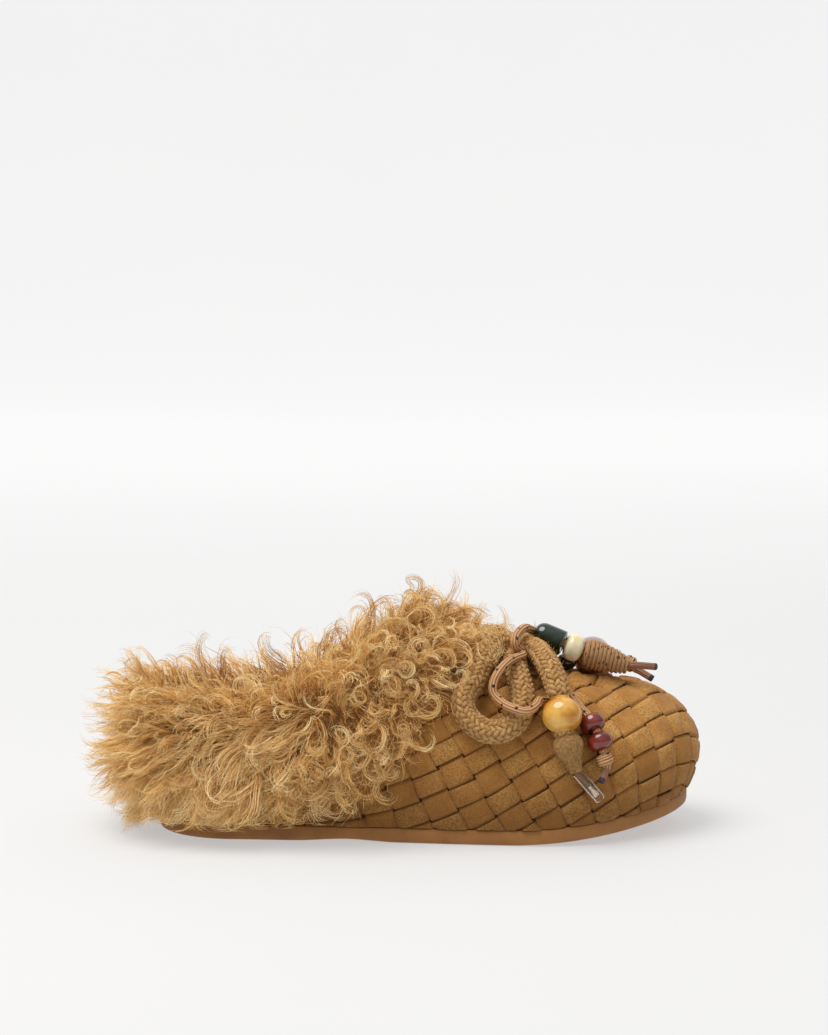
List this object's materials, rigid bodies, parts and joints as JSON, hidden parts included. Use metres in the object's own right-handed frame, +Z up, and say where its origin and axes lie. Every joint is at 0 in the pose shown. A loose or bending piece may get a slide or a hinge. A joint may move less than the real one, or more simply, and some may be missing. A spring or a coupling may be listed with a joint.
{
  "type": "fur-cuffed woven suede slipper",
  "caption": "Right slip-on slipper: woven suede toe, long curly fur over heel, quarters and instep, flat rubber sole, beaded rope bow.",
  "frame": {"origin": "on the floor plane under the forefoot, at mid length of the sole, on the sole's centre line", "axes": "+X to the toe, +Y to the inner (medial) side, +Z up"},
  "size_m": [0.2938, 0.1452, 0.1124],
  "materials": {
    "rubber": "smooth caramel rubber, satin, slightly scuffed",
    "fleece": "short curly fleece pile",
    "suede": "camel suede with a fine nap",
    "fur": "long curly golden-tan fur",
    "rope": "matt braided rope",
    "cord": "thin tan cord with dark flecks",
    "cord_core": "dark dipped cord end",
    "felt": "felted rope ball",
    "amber_resin": "polished amber-coloured resin",
    "clear_plastic": "clear end tube",
    "red_resin": "polished red-brown resin",
    "green_glass": "dark green glass",
    "cream_ceramic": "cream glaze",
    "dark_glass": "dark green polished bead",
    "rose_resin": "cloudy rose-brown resin",
    "pale_glass": "pale green clear glass"
  },
  "bodies": {
    "root": {"aglet_inner": "clear_plastic", "aglet_outer": "clear_plastic", "amber_bead_inner": "amber_resin", "amber_bead_outer": "amber_resin", "cord_end_inner": "cord", "cord_end_outer": "cord", "cord_loop_inner": "cord", "cord_loop_outer": "cord", "cord_stop_inner": "cord", "cord_stop_outer": "cord", "cord_tail_inner": "cord_core", "cord_tail_outer": "cord_core", "cream_bead": "cream_ceramic", "dark_bead": "dark_glass", "first_cord": "cord", "first_tail": "cord_core", "fur_cuff": "fur", "green_tube_bead": "green_glass", "insole": "fleece", "outsole": "rubber", "pale_bead": "pale_glass", "red_bead_lower_inner": "red_resin", "red_bead_lower_outer": "red_resin", "red_bead_upper_inner": "red_resin", "red_bead_upper_outer": "red_resin", "rope_ball_inner": "felt", "rope_ball_outer": "felt", "rope_end_inner": "rope", "rope_end_outer": "rope", "rope_knot": "rope", "rope_loop_inner": "rope", "rope_loop_outer": "rope", "rose_bead": "rose_resin", "second_cord": "cord", "second_stop": "cord", "second_tail": "cord_core", "upper": "suede", "wrapped_cone": "cord"}
  },
  "joints": []
}
